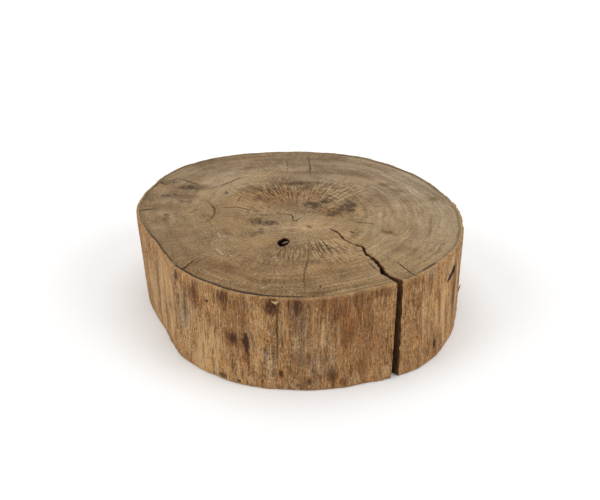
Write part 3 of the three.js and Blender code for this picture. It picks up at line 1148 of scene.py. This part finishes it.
def long_grain():
    """The debarked outside: fibres up the side, with tan, brown and grey weathering, stains and knots,
    painted shade in the scoop under the front rim and painted light low on the left near the foot.
    """
    g = Graph("long_grain", 0.85)
    fibre = g.noise(g.place(0.6, 0.09), detail=4, rough=0.75, distort=0.7)
    felt = g.noise(g.place(0.5, 0.24), detail=4, rough=0.8, distort=0.8)
    grit = g.noise(g.place(0.8, 0.3), detail=3, rough=0.75)
    streak = g.noise(g.place(0.14, 0.014), detail=4, rough=0.65, distort=0.3)
    stripe = g.noise(g.place(0.34, 0.018), detail=3, rough=0.65, distort=0.3)
    cloud = g.noise(g.place(0.03, 0.018), detail=4, rough=0.6)
    warmth = g.noise(g.place(0.15, 0.06), detail=4, rough=0.75)

    tone = g.total((fibre, 0.36), (felt, 0.36), (grit, 0.48), (streak, 0.26), (stripe, 0.14), (cloud, 0.16))
    tone = g.math("SUBTRACT", tone, 0.322)
    tan = g.ramp(
        tone,
        (0.43, srgb(90, 58, 33)),
        (0.5, srgb(133, 95, 58)),
        (0.56, srgb(160, 123, 82)),
        (0.64, srgb(188, 152, 106)),
        (0.74, srgb(206, 176, 132)),
    )
    grey = g.ramp(
        tone,
        (0.43, srgb(82, 62, 44)),
        (0.52, srgb(124, 101, 75)),
        (0.6, srgb(163, 139, 109)),
        (0.72, srgb(202, 180, 150)),
    )
    rust = g.ramp(
        tone,
        (0.43, srgb(82, 49, 25)),
        (0.53, srgb(117, 80, 46)),
        (0.62, srgb(149, 107, 66)),
        (0.74, srgb(180, 139, 94)),
    )
    colour = g.over(tan, g.field("grey"), g.spread(cloud, 0.34, 0.56), grey)
    colour = g.mix(g.field("felt"), colour, rust)
    # Pale patches: pale wood, and low on the left near the foot painted light in place of light off the
    # floor.
    pale = g.torn(g.field("pale"), 0.1, 1.1, (streak, 1.6), (felt, 1.6), (grit, 1.0))
    colour = g.over(colour, pale, 0.75, srgb(200, 164, 116))
    # Stains darken the side; in the scoop under the front rim this darkening is painted shade.
    stain_and_scoop_shade = g.torn(g.field("stain_and_scoop_shade"), 0.1, 0.75, (stripe, 2.2), (fibre, 2.0), (felt, 1.2))
    colour = g.mix(stain_and_scoop_shade, colour, (0.56, 0.45, 0.38, 1), "MULTIPLY")
    lines = g.noise(g.place(0.9, 0.07), detail=2, rough=0.6, distort=0.5)
    colour = g.over(colour, g.spread(lines, 0.42, 0.33), 0.7, srgb(68, 43, 25))
    colour = g.over(colour, g.spread(lines, 0.6, 0.7), 0.5, srgb(208, 176, 132))
    colour = g.mix(g.spread(warmth, 0.46, 0.64), colour, (1.13, 0.99, 0.8, 1), "MULTIPLY")
    colour = g.mix(g.spread(warmth, 0.48, 0.32), colour, (0.95, 1.0, 1.1, 1), "MULTIPLY")
    # Knots are painted dark brown; in the scoop under the front rim this is painted shade.
    knot = g.torn(g.field("knot"), 0.2, 0.7, (felt, 1.4), (fibre, 1.2))
    colour = g.over(colour, knot, 0.88, srgb(56, 35, 23))
    slant = g.torn(g.field("slant"), 0.2, 0.9, (felt, 1.8), (fibre, 1.2))
    colour = g.mix(slant, colour, srgb(34, 26, 23))
    worn = g.times(g.field("edge"), g.spread(felt, 0.4, 0.6))
    colour = g.over(colour, worn, 0.5, srgb(178, 143, 100))
    colour = g.mix(g.field("flake"), colour, srgb(184, 160, 126))

    height = g.total((fibre, 0.55), (felt, 0.45), (grit, 0.3), (streak, 0.4))
    return g.finish(colour, height, 1.5)


def split_wood():
    """The torn walls of the crack: fibrous and brown, with painted shade that darkens them to black further
    in.
    """
    g = Graph("split_wood", 0.9)
    fibre = g.noise(g.place(0.4, 0.08), detail=4, rough=0.7)
    colour = g.ramp(fibre, (0.35, srgb(72, 47, 28)), (0.52, srgb(112, 78, 46)), (0.68, srgb(150, 112, 72)))
    # Painted shade: the crack's walls are darkened towards black with depth from the rim and the top, in
    # place of the shade inside the narrow gap.
    colour = g.over(colour, g.field("deep"), 0.82, srgb(42, 25, 14))
    return g.finish(colour, fibre, 1.0)


# Stage

def pale_floor():
    """A plain pale floor under the slice, swept up far off all round."""
    sides, rings = FLOOR["sides"], FLOOR["rings"]
    turns = np.linspace(0, 2 * math.pi, sides, endpoint=False)
    points = []
    for share in np.linspace(0, 1, rings):
        radius = FLOOR["flat"] + (FLOOR["reach"] - FLOOR["flat"]) * share
        height = FLOOR["rise"] * share**2
        points += [(radius * math.cos(turn), radius * math.sin(turn), height) for turn in turns]
    faces = [tuple(range(sides))]
    for ring in range(rings - 1):
        inner, outer = ring * sides, (ring + 1) * sides
        pairs = [(i, (i + 1) % sides) for i in range(sides)]
        faces += [(inner + a, outer + a, outer + b, inner + b) for a, b in pairs]
    mesh = bpy.data.meshes.new("floor")
    mesh.from_pydata(points, [], faces)
    floor = bpy.data.objects.new("floor", mesh)
    bpy.context.scene.collection.objects.link(floor)
    material = bpy.data.materials.new("pale_floor")
    material.use_nodes = True
    shader = material.node_tree.nodes["Principled BSDF"]
    shader.inputs["Base Color"].default_value = (0.95, 0.95, 0.95, 1)
    shader.inputs["Roughness"].default_value = 0.9
    mesh.materials.append(material)


def soft_light(name, bearing, elevation, strength, softness):
    """A wide, even light from a bearing and an elevation in degrees."""
    lamp = bpy.data.lights.new(name, "SUN")
    lamp.energy = strength
    lamp.angle = math.radians(softness)
    light = bpy.data.objects.new(name, lamp)
    turn, rise = math.radians(bearing), math.radians(elevation)
    away = Vector((math.cos(turn) * math.cos(rise), math.sin(turn) * math.cos(rise), math.sin(rise)))
    light.rotation_euler = away.to_track_quat("Z", "Y").to_euler()
    bpy.context.scene.collection.objects.link(light)


def studio():
    """Soft light from both sides and above, on a white surround."""
    world = bpy.data.worlds.new("studio")
    world.use_nodes = True
    background = world.node_tree.nodes["Background"]
    background.inputs["Color"].default_value = (1, 1, 1, 1)
    background.inputs["Strength"].default_value = SURROUND
    bpy.context.scene.world = world
    for name, lamp in LAMPS.items():
        soft_light(name, *lamp)
    bpy.context.scene.view_settings.view_transform = "Standard"


def camera():
    """The photograph's view."""
    lens = bpy.data.cameras.new("camera")
    lens.lens = LENS
    eye = bpy.data.objects.new("camera", lens)
    rise = math.radians(VIEW_ELEVATION)
    back = Vector((0, -math.cos(rise), math.sin(rise)))
    target = Vector(VIEW_TARGET) + Vector((*log_shift(), 0))
    eye.location = (target + back * VIEW_DISTANCE) * MM
    eye.rotation_euler = (-back).to_track_quat("-Z", "Y").to_euler()
    bpy.context.scene.collection.objects.link(eye)
    bpy.context.scene.camera = eye


camera()
slice_piece = build_slice()
for material in (end_grain(), long_grain(), split_wood()):
    slice_piece.data.materials.append(material)
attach(slice_piece, "root")
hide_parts("wood_slice")
pale_floor()
studio()
